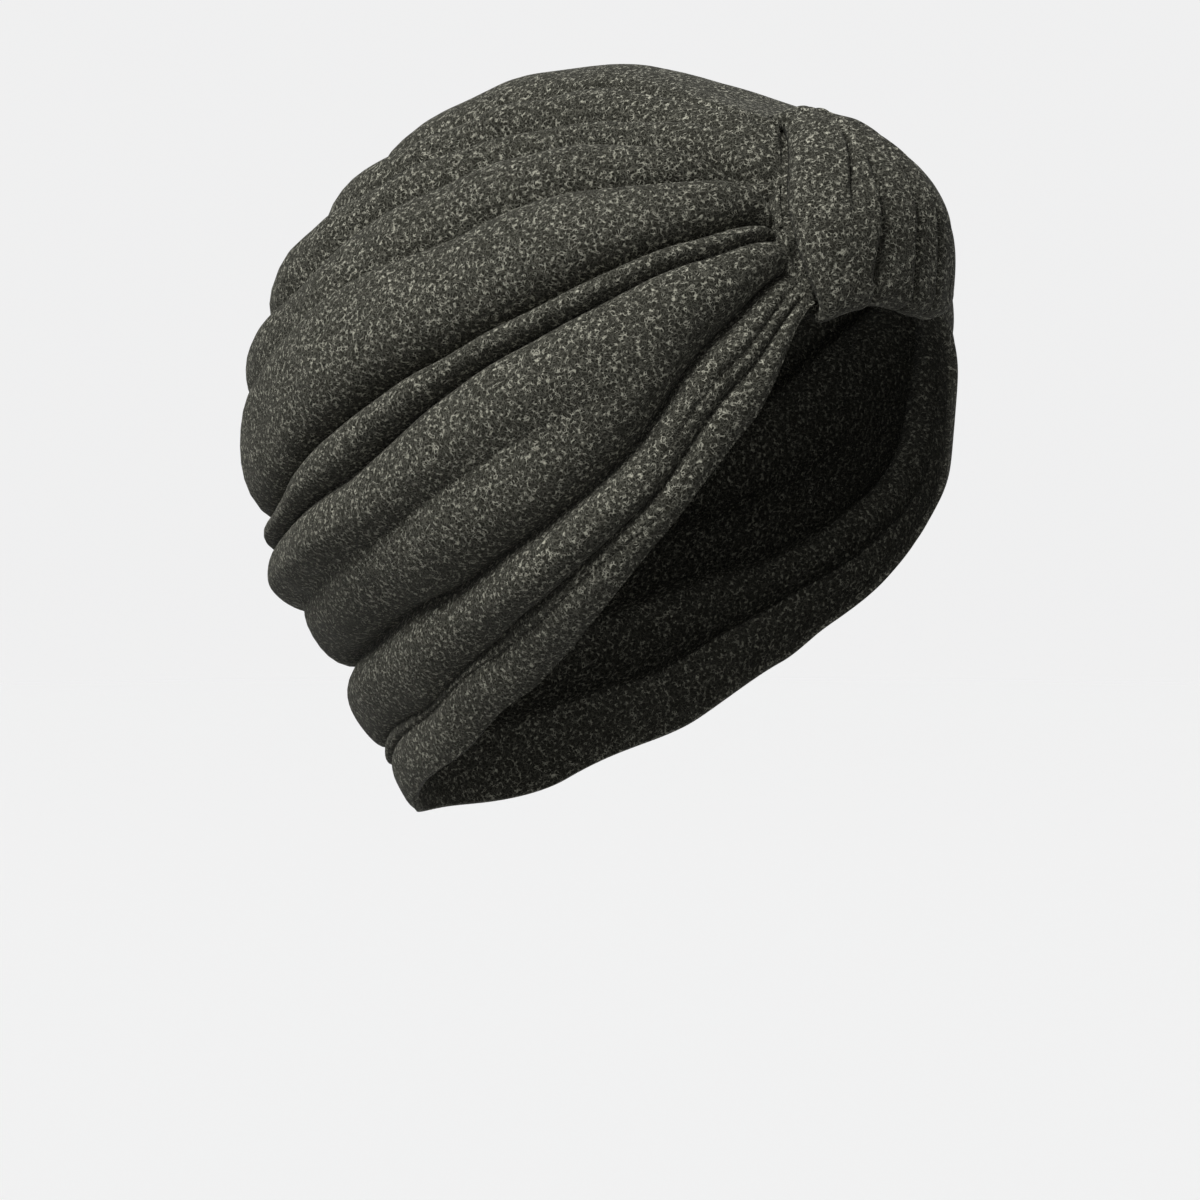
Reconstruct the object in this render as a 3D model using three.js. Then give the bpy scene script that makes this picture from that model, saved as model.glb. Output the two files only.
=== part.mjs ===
// Pre-tied jersey turban, in the form that it takes when worn.
// Millimetres, +Z up, the forehead toward -Y, the wearer's right side toward -X.
// The origin is where the top of the head touches the inside of the cap.
//
// The cap is one cloth: a smooth body shape, and on it folds that leave the
// knot at the forehead, run round the side and hang across the back as swags.
// Every place on the cloth is named by a reach and a heading, in degrees, from
// the gathering point at the upper back of the head.
import * as THREE from 'three';

// ---------------------------------------------------------------- dimensions
const WALL = 2.5;            // cloth of the cap, folded double at the ridges
const GATHER_WALL = 2.5;     // extra thickness of the gathered cloth in the knot
const GATHER_END = 0.15;     // where along a fold that extra thickness is gone
const INNER_FOLLOW = 0.8;    // share of a fold's depth that shows inside
const HEM_CURL = 1.1;        // how far the hem turns in
const SWELL = 3.0;           // how far the folds swell where they leave the band
const BAND_GAP = 0.4;        // clearance between the band and the gathered cloth
const BAND_WALL = 2.3;       // cloth of the band
const CENTRE_Z = -96;        // height of the centre that the body is measured from
const CORE_TILT = 32;        // gathering point, degrees behind the top

// body of the cap: distance in mm from the centre, by tilt from straight up
const BODY = [
  // tilt front  back   side   squareness of the front half
  [0, 99, 99, 99, 2.0],
  [15, 100.3, 99, 96.5, 2.0],
  [30, 103.8, 99.5, 91.5, 2.0],
  [45, 111.5, 102.5, 90.5, 2.15],
  [60, 111.5, 106.5, 90.5, 2.4],
  [75, 108, 110.3, 91, 2.3],
  [90, 103, 112.8, 91, 2.25],
  [105, 99.5, 115.6, 91, 2.4],
  [120, 98, 118.8, 92, 2.3],
  [135, 98, 121.5, 94, 2.1],
  [150, 108, 129, 107, 2.0],
  [165, 135, 150, 138, 2.0],
  [180, 160, 160, 160, 2.0],
];

// stations along a fold: middle of the knot, edge of the band, then headings
const STATION_T = [-0.25, 0, 0.09, 0.17, 0.3, 0.42, 0.53, 0.64, 0.78, 0.91, 1];
const HEADING = [72, 60, 40, 20, 0, -20, -45, -70, -90];

// path of each fold, from the hem up: reach in degrees at each station
const PATHS = [
  // fold       middle  edge   72     60     40     20     0      -20    -45    -70    -90
  ['hem', 100.6, 98.9, 104.4, 117.2, 128.1, 135.7, 140.6, 140.6, 135.4, 125.9, 121.5],
  ['tuckLow', 99.2, 97.9, 102.8, 112.6, 125.2, 129.9, 133.4, 132.7, 127.9, 119.5, 115.5],
  ['tuckHigh', 98.0, 97.0, 102.4, 110.6, 122.5, 128.3, 131.2, 131.1, 126.8, 117.2, 113.2],
  ['pinch', 96.0, 95.3, 100.2, 107.4, 119.0, 124.4, 126.0, 124.6, 119.6, 111.5, 107.5],
  ['nape', 93.4, 92.8, 97.5, 102.7, 114.3, 119.3, 120.6, 119.7, 113.1, 105.0, 101.5],
  ['panel', 90.9, 91.0, 94.0, 98.0, 104.6, 104.8, 104.5, 103.2, 98.3, 93.5, 91.5],
  ['swag', 89.8, 89.9, 92.4, 95.0, 97.8, 99.3, 99.8, 98.0, 93.1, 88.2, 86.5],
  ['slim', 88.5, 88.7, 91.1, 91.0, 90.4, 89.3, 90.2, 90.4, 86.6, 83.2, 81.8],
  ['deep', 87.0, 87.2, 87.7, 86.4, 84.2, 82.0, 80.8, 80.2, 81.4, 79.0, 78.0],
  ['brow', 84.0, 83.6, 79.1, 72.0, 62.1, 59.6, 58.2, 59.3, 61.0, 61.5, 61.5],
  ['side', 81.6, 81.0, 75.6, 58.4, 45.4, 42.9, 43.1, 47.5, 49.5, 49.0, 48.5],
  ['upper', 79.0, 78.6, 62.3, 47.8, 35.3, 30.4, 30.5, 31.5, 33.0, 32.5, 32.0],
  ['top', 76.8, 76.4, 43.0, 33.2, 25.0, 20.8, 18.8, 17.5, 16.5, 16.0, 16.0],
];

// shape of each fold: depth in mm at each station, width of the shoulder above
// and below it, radius of its floor, and how far the upper shoulder leans over
const SHAPES = {
  //         edge 72   60   40   20   0    -20  -45  -70  -90   above below round lean
  hem: [0, 0, 0, 0, 0, 0, 0, 0, 0, 0, 3, 3, 0.3, 0],
  tuckLow: [0, 0, 0, 0.4, 1.1, 1.5, 1.6, 1.6, 1.5, 1.3, 1.6, 2.6, 0.2, 0],
  tuckHigh: [0.8, 1.4, 1.8, 2.0, 2.1, 2.1, 2.1, 2.0, 1.9, 1.7, 3, 1.8, 0.2, 0.2],
  pinch: [1.4, 2.0, 1.2, 0.3, 0, 0, 0, 0, 0, 0, 3, 2.5, 0.3, 0],
  nape: [2.2, 4.0, 4.8, 5.0, 4.8, 4.6, 4.6, 4.6, 4.4, 4.2, 6, 3.2, 0.2, 0.3],
  panel: [0, 0, 0, 0.8, 2.2, 3.2, 3.8, 4.4, 4.8, 4.6, 6, 11, 3, 0],
  swag: [0, 0, -0.3, -0.8, -1.2, -1.6, -2.0, -2.6, -3.0, -3.0, 6, 6, 3, 0],
  slim: [1.4, 2.6, 3.0, 3.6, 4.0, 3.8, 3.4, 3.0, 2.8, 2.6, 4, 3, 0.2, 0.2],
  deep: [3.4, 6.2, 7.4, 8.4, 8.4, 7.4, 6.0, 4.4, 3.6, 3.4, 7, 3, 0.2, 0.4],
  brow: [2.6, 3.8, 3.6, 3.0, 1.8, 0.9, 0.6, 0.8, 1.2, 1.4, 6, 3, 0.6, 0.2],
  side: [1.0, 1.8, 2.4, 2.8, 3.0, 3.0, 2.8, 2.6, 2.4, 2.4, 7, 3, 1.5, 0],
  upper: [1.0, 2.0, 2.8, 3.0, 2.8, 2.6, 2.4, 2.2, 2.0, 2.0, 7, 3, 1.5, 0],
  top: [0.6, 1.4, 2.0, 2.0, 1.8, 1.6, 1.4, 1.2, 1.0, 1.0, 6, 3, 1.5, 0],
};

// upper border of the cap's half: the edge in the knot, the corner of the
// opening behind the knot, its rear lip, then the middle line of the head
const OPENING_END = 0.1;
const BORDER = [
  // t      across  along
  [-0.25, 0, 75],
  [-0.06, -6.8, 74.9],
  [0, -8.9, 74.5],
  [0.022, -10.4, 73.0],
  [0.045, -9.0, 71.3],
  [0.1, 0, 69.9],
  [0.17, 0, 42],
  [0.3, 0, 27],
  [0.42, 0, 19],
  [0.53, 0, 13],
  [0.64, 0, 8],
  [0.78, 0, 4],
  [0.91, 0, 1.2],
  [1, 0, 0],
];

// half-width of the band in degrees, by its reach from the gathering point
const BAND_EDGE = [
  // along  across
  [72, 7.0],
  [75, 8.6],
  [77.5, 11.2],
  [80.6, 15.6],
  [84.5, 21.6],
  [88.4, 25.2],
  [92.9, 27.1],
  [96.4, 27.3],
  [99, 27.0],
  [103, 25.4],
];
const BAND_TOP = 75;

// reach of the band's lower turn, by place across it
const BAND_LOW = [
  // across along
  [-1, 99.2],
  [-0.4, 100.6],
  [0.2, 102.6],
  [0.6, 102.0],
  [1, 99.2],
];

// how far the gathered cloth stands out under the band, by reach
const BUNDLE = [
  // along  out
  [75, 1.2],
  [79, 4.0],
  [86, 6.5],
  [92, 7.5],
  [98.6, 6.0],
];

// fullness of the band's front in mm at its middle, by height (0 hem, 1 top)
const BAND_FULL = [
  [0, 3.0],
  [0.25, 6.2],
  [0.5, 6.8],
  [0.75, 4.8],
  [1, 2.2],
];

// pleats of the band: place across it (-1 to 1) and depth in mm, each at the
// top, the middle and the bottom, and the width of the shoulders on each side
const PLEATS = [
  // top    middle bottom | top middle bottom | right left
  [-0.42, -0.56, -0.62, 2.2, 0.8, 0.2, 0.1, 0.07],
  [-0.22, -0.42, -0.28, 2.6, 3.4, 2.6, 0.1, 0.16],
  [0.08, 0.02, 0.02, 2.4, 2.6, 2.2, 0.1, 0.12],
  [0.38, 0.36, 0.3, 2.2, 2.2, 2.0, 0.1, 0.12],
  [0.7, 0.66, 0.62, 1.8, 2.0, 1.6, 0.1, 0.1],
];

// -------------------------------------------------------------------- curves
const RAD = Math.PI / 180;

function spanOf(xs, x) {
  let k = 0;
  while (k < xs.length - 2 && x >= xs[k + 1]) k++;
  return k;
}

function hermite(xs, ys, ms, x) {
  const c = Math.min(Math.max(x, xs[0]), xs[xs.length - 1]);
  const k = spanOf(xs, c), h = xs[k + 1] - xs[k], q = (c - xs[k]) / h;
  const q2 = q * q, q3 = q2 * q;
  return (2 * q3 - 3 * q2 + 1) * ys[k] + (q3 - 2 * q2 + q) * h * ms[k]
    + (3 * q2 - 2 * q3) * ys[k + 1] + (q3 - q2) * h * ms[k + 1];
}

// smooth through every row
function flowing(xs, ys) {
  const n = xs.length;
  const ms = ys.map((_, i) => {
    const a = Math.max(0, i - 1), b = Math.min(n - 1, i + 1);
    return (ys[b] - ys[a]) / (xs[b] - xs[a]);
  });
  return (x) => hermite(xs, ys, ms, x);
}

// through every row, and between two rows never outside them
function steady(xs, ys) {
  const d = xs.slice(1).map((x, i) => (ys[i + 1] - ys[i]) / (x - xs[i]));
  const ms = ys.map((_, i) => {
    if (i === 0 || i === ys.length - 1) return 0;
    const p = d[i - 1] * d[i];
    return p > 0 ? (2 * p) / (d[i - 1] + d[i]) : 0;
  });
  return (x) => hermite(xs, ys, ms, x);
}

const column = (table, k) => table.map((row) => row[k]);
const lerp = (a, b, q) => a + (b - a) * q;

// ---------------------------------------------------------------- body shape
const bodyTilt = column(BODY, 0);
const [frontAt, backAt, sideAt, squareAt] = [1, 2, 3, 4].map((k) => flowing(bodyTilt, column(BODY, k)));
const bandEdgeAt = steady(column(BAND_EDGE, 0), column(BAND_EDGE, 1));
const bundleOut = steady(column(BUNDLE, 0), column(BUNDLE, 1));

// place on the body: across (toward +X) and along (toward the forehead)
function body(across, along) {
  const u = across * RAD, v = along * RAD, reach = Math.hypot(u, v);
  const k = reach > 1e-9 ? Math.sin(reach) / reach : 1, c = CORE_TILT * RAD;
  const x = k * u;
  const y = Math.cos(reach) * Math.sin(c) - k * v * Math.cos(c);
  const z = Math.cos(reach) * Math.cos(c) + k * v * Math.sin(c);
  const tilt = Math.acos(Math.min(1, Math.max(-1, z))) / RAD;
  const level = Math.max(Math.hypot(x, y), 1e-9);
  const cx = Math.abs(x) / level, cy = Math.abs(y) / level, front = y < 0;
  const power = front ? squareAt(tilt) : 2;
  const long = front ? frontAt(tilt) : backAt(tilt);
  const r = Math.pow(Math.pow(cy / long, power) + Math.pow(cx / sideAt(tilt), power), -1 / power);
  return new THREE.Vector3(x * r, y * r, CENTRE_Z + z * r);
}

function outward(across, along) {
  const e = 0.3;
  const a = body(across + e, along).sub(body(across - e, along));
  const b = body(across, along + e).sub(body(across, along - e));
  const n = a.cross(b).normalize();
  const p = body(across, along).sub(new THREE.Vector3(0, 0, CENTRE_Z));
  return n.dot(p) < 0 ? n.negate() : n;
}

// ----------------------------------------------------------------- fold paths
function pathOf(row) {
  const reach = row.slice(3);
  const across = [0, -bandEdgeAt(row[2]), ...reach.map((r, i) => -r * Math.cos(HEADING[i] * RAD))];
  const along = [row[1], row[2], ...reach.map((r, i) => r * Math.sin(HEADING[i] * RAD))];
  across[across.length - 1] = 0;
  // one more station on each end, mirrored about the middle of the head
  const n = STATION_T.length;
  const ts = [2 * STATION_T[0] - STATION_T[1], ...STATION_T, 2 * STATION_T[n - 1] - STATION_T[n - 2]];
  const u = flowing(ts, [-across[1], ...across, -across[n - 2]]);
  const v = flowing(ts, [along[1], ...along, along[n - 2]]);
  return (t) => [t <= STATION_T[0] || t >= 1 ? 0 : u(t), v(t)];
}

function borderPath() {
  const ts = column(BORDER, 0), v = steady(ts, column(BORDER, 2)), us = column(BORDER, 1);
  return (t) => {
    const k = spanOf(ts, Math.min(Math.max(t, ts[0]), 1));
    return [lerp(us[k], us[k + 1], (t - ts[k]) / (ts[k + 1] - ts[k])), v(t)];
  };
}

const FOLD_NAMES = column(PATHS, 0);
const LINES = [...PATHS.map(pathOf), borderPath()];
const DEPTH = Object.fromEntries(FOLD_NAMES.map((name) => {
  const s = SHAPES[name].slice(0, 10);
  return [name, steady([-0.25, ...STATION_T.slice(1)], [s[0] * 0.6, ...s])];
}));

// sub-lines between two folds, closer together beside the folds
function strands(count) {
  const list = [];
  for (let i = 0; i < LINES.length - 1; i++) {
    for (let k = 0; k < count; k++) list.push([i, (1 - Math.cos((Math.PI * k) / count)) / 2]);
  }
  list.push([LINES.length - 1, 0]);
  return list;
}

// how far the gathered cloth stands out under the band, 0 beside it
function bundleAt(across, along) {
  const w = Math.abs(across) / bandEdgeAt(along);
  return bundleOut(along) * Math.max(0, 1 - w * w);
}

// 1 where the cloth is gathered in the knot, 0 from the end of the gathers on
function gatherAt(t) {
  const q = Math.min(1, Math.max(0, 1 - t / GATHER_END));
  return q * q * (3 - 2 * q);
}

// one iso-t row of the cap's half: points from the hem to the upper border
function capRow(t, list, inside) {
  const ends = LINES.map((line) => line(t));
  const uv = list.map(([i, q]) => (q === 0 ? ends[i]
    : [lerp(ends[i][0], ends[i + 1][0], q), lerp(ends[i][1], ends[i + 1][1], q)]));
  const p = uv.map(([u, v]) => body(u, v));
  const n = uv.map(([u, v]) => outward(u, v));
  const x = [0];
  for (let k = 1; k < p.length; k++) x.push(x[k - 1] + p[k].distanceTo(p[k - 1]));
  const at = {};
  list.forEach(([i, q], k) => { if (q === 0 && i < FOLD_NAMES.length) at[FOLD_NAMES[i]] = x[k]; });
  const last = p.length - 1, gather = gatherAt(t);
  const swell = t > 0 ? SWELL * (1 - Math.exp(-t / 0.012)) * Math.exp(-t / 0.06) : 0;
  return p.map((point, k) => {
    let height = 0, slide = 0;
    for (const name of FOLD_NAMES) {
      const [above, below, round, lean] = SHAPES[name].slice(10);
      const depth = DEPTH[name](t) * (inside ? INNER_FOLLOW * (1 - gather) : 1);
      const wide = inside ? 1.5 : 0, r = inside ? round + 1 : round;
      const d = x[k] - at[name], width = (d > 0 ? above : below) + wide;
      const c = Math.exp(-(Math.hypot(d, r) - r) / width);
      height -= depth * c;
      if (!inside) {
        slide -= lean * Math.abs(depth) * (1 - c) * Math.exp(-Math.abs(d) / (2.5 * width)) * (d > 0 ? 1 : 0.6);
      }
    }
    const gathered = t < 0 ? bundleAt(uv[k][0], uv[k][1]) : 0;
    height += gathered + swell - HEM_CURL * Math.exp(-((x[k] / 2.2) ** 2)) * (inside ? 0 : 1);
    if (inside) height -= WALL + GATHER_WALL * gather;
    slide *= Math.min(1, Math.max(0, t / 0.05));
    const way = p[Math.min(k + 1, last)].clone().sub(p[Math.max(k - 1, 0)]);
    way.addScaledVector(n[k], -way.dot(n[k])).normalize();
    const out = point.clone().addScaledVector(n[k], height).addScaledVector(way, slide);
    // the middle of the head and of the knot stay on the mirror plane
    if (uv[k][0] === 0) out.x = 0;
    return out;
  });
}

// ------------------------------------------------------------------ mesh work
class Shell {
  constructor() { this.points = []; this.faces = []; this.index = new Map(); }

  id(p) {
    const key = [p.x, p.y, p.z].map((c) => Math.round(c * 1e4)).join();
    if (!this.index.has(key)) { this.index.set(key, this.points.length); this.points.push(p); }
    return this.index.get(key);
  }

  tri(a, b, c, flip) {
    const t = [this.id(a), this.id(b), this.id(c)];
    if (t[0] === t[1] || t[1] === t[2] || t[0] === t[2]) return;
    this.faces.push(flip ? [t[0], t[2], t[1]] : t);
  }

  quad(a, b, c, d, flip) {
    // split along the shorter diagonal
    if (a.distanceTo(c) <= b.distanceTo(d)) { this.tri(a, b, c, flip); this.tri(a, c, d, flip); }
    else { this.tri(a, b, d, flip); this.tri(b, c, d, flip); }
  }

  mesh(name, colour) {
    const g = new THREE.BufferGeometry();
    g.setAttribute('position', new THREE.Float32BufferAttribute(this.points.flatMap((p) => [p.x, p.y, p.z]), 3));
    g.setIndex(this.faces.flat());
    g.computeVertexNormals();
    const m = new THREE.Mesh(g, new THREE.MeshStandardMaterial({ color: colour, roughness: 0.95, metalness: 0 }));
    m.name = name;
    return m;
  }
}

const mirrored = (p) => new THREE.Vector3(p.x === 0 ? 0 : -p.x, p.y, p.z);

// ------------------------------------------------------------------------ cap
const CAP_T = [-0.25, -0.19, -0.12, -0.05, 0, 0.022, 0.045, 0.07, 0.1, 0.135, 0.17, 0.21, 0.255, 0.3, 0.34,
  0.38, 0.42, 0.457, 0.493, 0.53, 0.567, 0.603, 0.64, 0.675, 0.71, 0.745, 0.78, 0.823, 0.867, 0.91, 0.955, 1];

function buildCap() {
  const outerLines = strands(3), innerLines = strands(1);
  const outer = CAP_T.map((t) => capRow(t, outerLines, false));
  const inner = CAP_T.map((t) => capRow(t, innerLines, true));
  const shell = new Shell();
  for (const side of [-1, 1]) {
    const place = (p) => (side < 0 ? p : mirrored(p));
    const skin = (grid, flip) => {
      for (let a = 0; a < grid.length - 1; a++) {
        for (let b = 0; b < grid[a].length - 1; b++) {
          shell.quad(...[grid[a][b], grid[a + 1][b], grid[a + 1][b + 1], grid[a][b + 1]].map(place), flip);
        }
      }
    };
    skin(outer, side < 0);
    skin(inner, side > 0);
    // rims: the hem all along, and the upper border as far as it is open
    const rim = (row, innerRow, upTo, flip) => {
      for (let a = 0; a < CAP_T.length - 1 && CAP_T[a] < upTo; a++) {
        shell.quad(...[outer[a][row], outer[a + 1][row], inner[a + 1][innerRow], inner[a][innerRow]].map(place), flip);
      }
    };
    rim(0, 0, 1, side > 0);
    rim(outerLines.length - 1, innerLines.length - 1, OPENING_END - 1e-6, side < 0);
  }
  return shell.mesh('cap', 0x45453d);
}

// ----------------------------------------------------------------------- band
const bandFullAt = flowing(column(BAND_FULL, 0), column(BAND_FULL, 1));
const bandLowAt = steady(column(BAND_LOW, 0), column(BAND_LOW, 1));

function pleatRelief(w, height) {
  let relief = 0;
  for (const [wt, wm, wb, dt, dm, db, right, left] of PLEATS) {
    const place = flowing([0, 0.5, 1], [wb, wm, wt])(height), depth = steady([0, 0.5, 1], [db, dm, dt])(height);
    const d = w - place;
    relief -= depth * Math.exp(-(Math.hypot(d, 0.012) - 0.012) / (d < 0 ? right : left));
  }
  return relief;
}

// the two faces of the band at a place on its loop and across it
function bandPoint(part, q, w) {
  const low = bandLowAt(w);
  const along = part === 'front' ? lerp(low, BAND_TOP, q)
    : part === 'inside' ? lerp(BAND_TOP, low, q) : part === 'top' ? BAND_TOP : low;
  const across = w * bandEdgeAt(along);
  const p = body(across, along), n = outward(across, along);
  const gathered = bundleAt(across, along), lift = gathered, wall = WALL + GATHER_WALL;
  const edge = 0.5 + 0.5 * Math.sqrt(Math.max(0, 1 - Math.abs(w) ** 6));
  const swell = Math.pow(Math.max(0, 1 - w * w), 0.6);
  const relief = (height, share) => share * Math.max(-(BAND_WALL * edge * 0.4 + bandFullAt(height) * swell), pleatRelief(w, height) * Math.min(1, edge * 1.2) * (0.35 + 0.65 * swell));
  if (part === 'front') {
    const near = lift + BAND_GAP;
    return [p.clone().addScaledVector(n, near),
      p.clone().addScaledVector(n, near + BAND_WALL * edge + bandFullAt(q) * swell + relief(q, 1))];
  }
  if (part === 'inside') {
    const near = lift - wall - BAND_GAP;
    return [p.clone().addScaledVector(n, near), p.clone().addScaledVector(n, near - BAND_WALL * edge)];
  }
  const top = part === 'top', step = body(across, along + (top ? -1 : 1)).sub(p);
  step.addScaledVector(n, -step.dot(n)).normalize();
  const angle = top ? q * Math.PI : (1 - q) * Math.PI, height = top ? 1 : 0;
  const dir = n.clone().multiplyScalar(Math.cos(angle)).addScaledVector(step, Math.sin(angle));
  const near = wall / 2 + BAND_GAP, fade = (1 + Math.cos(angle)) / 2;
  const centre = p.clone().addScaledVector(n, lift - wall / 2);
  return [centre.clone().addScaledVector(dir, near),
    centre.clone().addScaledVector(dir, near + BAND_WALL * edge + fade * (bandFullAt(height) * swell + relief(height, 1)))];
}

const BAND_LOOP = [['front', 11], ['top', 4], ['inside', 5], ['bottom', 4]];
const BAND_OUTER = [-1, -0.94, -0.8, -0.64, -0.52, -0.42, -0.3, -0.14, 0.02, 0.18, 0.36, 0.5, 0.66, 0.82, 0.94, 1];
const BAND_INNER = [-0.8, -0.42, 0.02, 0.42, 0.8];

function buildBand() {
  const rows = [];
  for (const [part, count] of BAND_LOOP) for (let k = 0; k < count; k++) rows.push([part, k / count]);
  const rings = rows.map(([part, q]) => [
    ...BAND_OUTER.map((w) => bandPoint(part, q, w)[1]),
    ...[1, ...[...BAND_INNER].reverse(), -1].map((w) => bandPoint(part, q, w)[0]),
  ]);
  const shell = new Shell();
  rings.forEach((ring, a) => {
    const next = rings[(a + 1) % rings.length];
    ring.forEach((p, b) => {
      const c = (b + 1) % ring.length;
      shell.quad(p, ring[c], next[c], next[b], false);
    });
  });
  return shell.mesh('knot_band', 0x3f3f38);
}

const turban = new THREE.Group();
turban.name = 'turban';
turban.add(buildCap(), buildBand());
export default turban;
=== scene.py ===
# Looks of the pre-tied jersey turban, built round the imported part.
# Lengths in the tables are millimetres, angles are degrees. +Z is up, the
# forehead is toward -Y and the wearer's right side toward -X.
import math

import bpy
import numpy as np
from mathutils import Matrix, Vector


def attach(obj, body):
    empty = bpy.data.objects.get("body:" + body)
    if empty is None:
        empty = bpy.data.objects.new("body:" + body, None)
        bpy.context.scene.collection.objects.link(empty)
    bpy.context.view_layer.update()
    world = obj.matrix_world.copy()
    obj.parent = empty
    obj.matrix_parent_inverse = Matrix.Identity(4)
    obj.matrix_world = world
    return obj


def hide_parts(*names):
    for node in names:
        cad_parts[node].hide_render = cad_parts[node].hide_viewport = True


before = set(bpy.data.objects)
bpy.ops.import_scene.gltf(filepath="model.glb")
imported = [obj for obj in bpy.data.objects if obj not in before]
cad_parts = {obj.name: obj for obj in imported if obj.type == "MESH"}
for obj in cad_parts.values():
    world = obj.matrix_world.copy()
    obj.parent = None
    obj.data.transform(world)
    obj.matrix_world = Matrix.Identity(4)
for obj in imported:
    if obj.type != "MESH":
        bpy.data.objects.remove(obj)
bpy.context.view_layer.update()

# ------------------------------------------------------------------ camera
EYE = Vector((-1.1447, -0.9605, -0.0193))
TARGET = Vector((0.0, 0.0, -0.150))
camera_data = bpy.data.cameras.new("camera")
camera_data.sensor_width = 36.0
camera_data.lens = 156.25
camera_data.clip_end = 60.0
camera = bpy.data.objects.new("camera", camera_data)
camera.location = EYE
camera.rotation_euler = (TARGET - EYE).to_track_quat("-Z", "Y").to_euler()
bpy.context.scene.collection.objects.link(camera)
bpy.context.scene.camera = camera

# ------------------------------------------------- dimensions, as in the part
#TABLES-BEGIN
WALL = 2.5
GATHER_WALL = 2.5
GATHER_END = 0.15
INNER_FOLLOW = 0.8
HEM_CURL = 1.1
SWELL = 3.0
BAND_GAP = 0.4
BAND_WALL = 2.3
CENTRE_Z = -96
CORE_TILT = 32
OPENING_END = 0.1
BAND_TOP = 75
STATION_T = [-0.25, 0, 0.09, 0.17, 0.3, 0.42, 0.53, 0.64, 0.78, 0.91, 1]
HEADING = [72, 60, 40, 20, 0, -20, -45, -70, -90]
BODY = [
    # tilt front  back   side   squareness of the front half
    [0, 99, 99, 99, 2.0],
    [15, 100.3, 99, 96.5, 2.0],
    [30, 103.8, 99.5, 91.5, 2.0],
    [45, 111.5, 102.5, 90.5, 2.15],
    [60, 111.5, 106.5, 90.5, 2.4],
    [75, 108, 110.3, 91, 2.3],
    [90, 103, 112.8, 91, 2.25],
    [105, 99.5, 115.6, 91, 2.4],
    [120, 98, 118.8, 92, 2.3],
    [135, 98, 121.5, 94, 2.1],
    [150, 108, 129, 107, 2.0],
    [165, 135, 150, 138, 2.0],
    [180, 160, 160, 160, 2.0],
]
PATHS = [
    # fold       middle  edge   72     60     40     20     0      -20    -45    -70    -90
    ["hem", 100.6, 98.9, 104.4, 117.2, 128.1, 135.7, 140.6, 140.6, 135.4, 125.9, 121.5],
    ["tuckLow", 99.2, 97.9, 102.8, 112.6, 125.2, 129.9, 133.4, 132.7, 127.9, 119.5, 115.5],
    ["tuckHigh", 98.0, 97.0, 102.4, 110.6, 122.5, 128.3, 131.2, 131.1, 126.8, 117.2, 113.2],
    ["pinch", 96.0, 95.3, 100.2, 107.4, 119.0, 124.4, 126.0, 124.6, 119.6, 111.5, 107.5],
    ["nape", 93.4, 92.8, 97.5, 102.7, 114.3, 119.3, 120.6, 119.7, 113.1, 105.0, 101.5],
    ["panel", 90.9, 91.0, 94.0, 98.0, 104.6, 104.8, 104.5, 103.2, 98.3, 93.5, 91.5],
    ["swag", 89.8, 89.9, 92.4, 95.0, 97.8, 99.3, 99.8, 98.0, 93.1, 88.2, 86.5],
    ["slim", 88.5, 88.7, 91.1, 91.0, 90.4, 89.3, 90.2, 90.4, 86.6, 83.2, 81.8],
    ["deep", 87.0, 87.2, 87.7, 86.4, 84.2, 82.0, 80.8, 80.2, 81.4, 79.0, 78.0],
    ["brow", 84.0, 83.6, 79.1, 72.0, 62.1, 59.6, 58.2, 59.3, 61.0, 61.5, 61.5],
    ["side", 81.6, 81.0, 75.6, 58.4, 45.4, 42.9, 43.1, 47.5, 49.5, 49.0, 48.5],
    ["upper", 79.0, 78.6, 62.3, 47.8, 35.3, 30.4, 30.5, 31.5, 33.0, 32.5, 32.0],
    ["top", 76.8, 76.4, 43.0, 33.2, 25.0, 20.8, 18.8, 17.5, 16.5, 16.0, 16.0],
]
BORDER = [
    # t      across  along
    [-0.25, 0, 75],
    [-0.06, -6.8, 74.9],
    [0, -8.9, 74.5],
    [0.022, -10.4, 73.0],
    [0.045, -9.0, 71.3],
    [0.1, 0, 69.9],
    [0.17, 0, 42],
    [0.3, 0, 27],
    [0.42, 0, 19],
    [0.53, 0, 13],
    [0.64, 0, 8],
    [0.78, 0, 4],
    [0.91, 0, 1.2],
    [1, 0, 0],
]
BAND_EDGE = [
    # along  across
    [72, 7.0],
    [75, 8.6],
    [77.5, 11.2],
    [80.6, 15.6],
    [84.5, 21.6],
    [88.4, 25.2],
    [92.9, 27.1],
    [96.4, 27.3],
    [99, 27.0],
    [103, 25.4],
]
BAND_LOW = [
    # across along
    [-1, 99.2],
    [-0.4, 100.6],
    [0.2, 102.6],
    [0.6, 102.0],
    [1, 99.2],
]
BUNDLE = [
    # along  out
    [75, 1.2],
    [79, 4.0],
    [86, 6.5],
    [92, 7.5],
    [98.6, 6.0],
]
BAND_FULL = [
    [0, 3.0],
    [0.25, 6.2],
    [0.5, 6.8],
    [0.75, 4.8],
    [1, 2.2],
]
PLEATS = [
    # top    middle bottom | top middle bottom | right left
    [-0.42, -0.56, -0.62, 2.2, 0.8, 0.2, 0.1, 0.07],
    [-0.22, -0.42, -0.28, 2.6, 3.4, 2.6, 0.1, 0.16],
    [0.08, 0.02, 0.02, 2.4, 2.6, 2.2, 0.1, 0.12],
    [0.38, 0.36, 0.3, 2.2, 2.2, 2.0, 0.1, 0.12],
    [0.7, 0.66, 0.62, 1.8, 2.0, 1.6, 0.1, 0.1],
]
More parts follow.
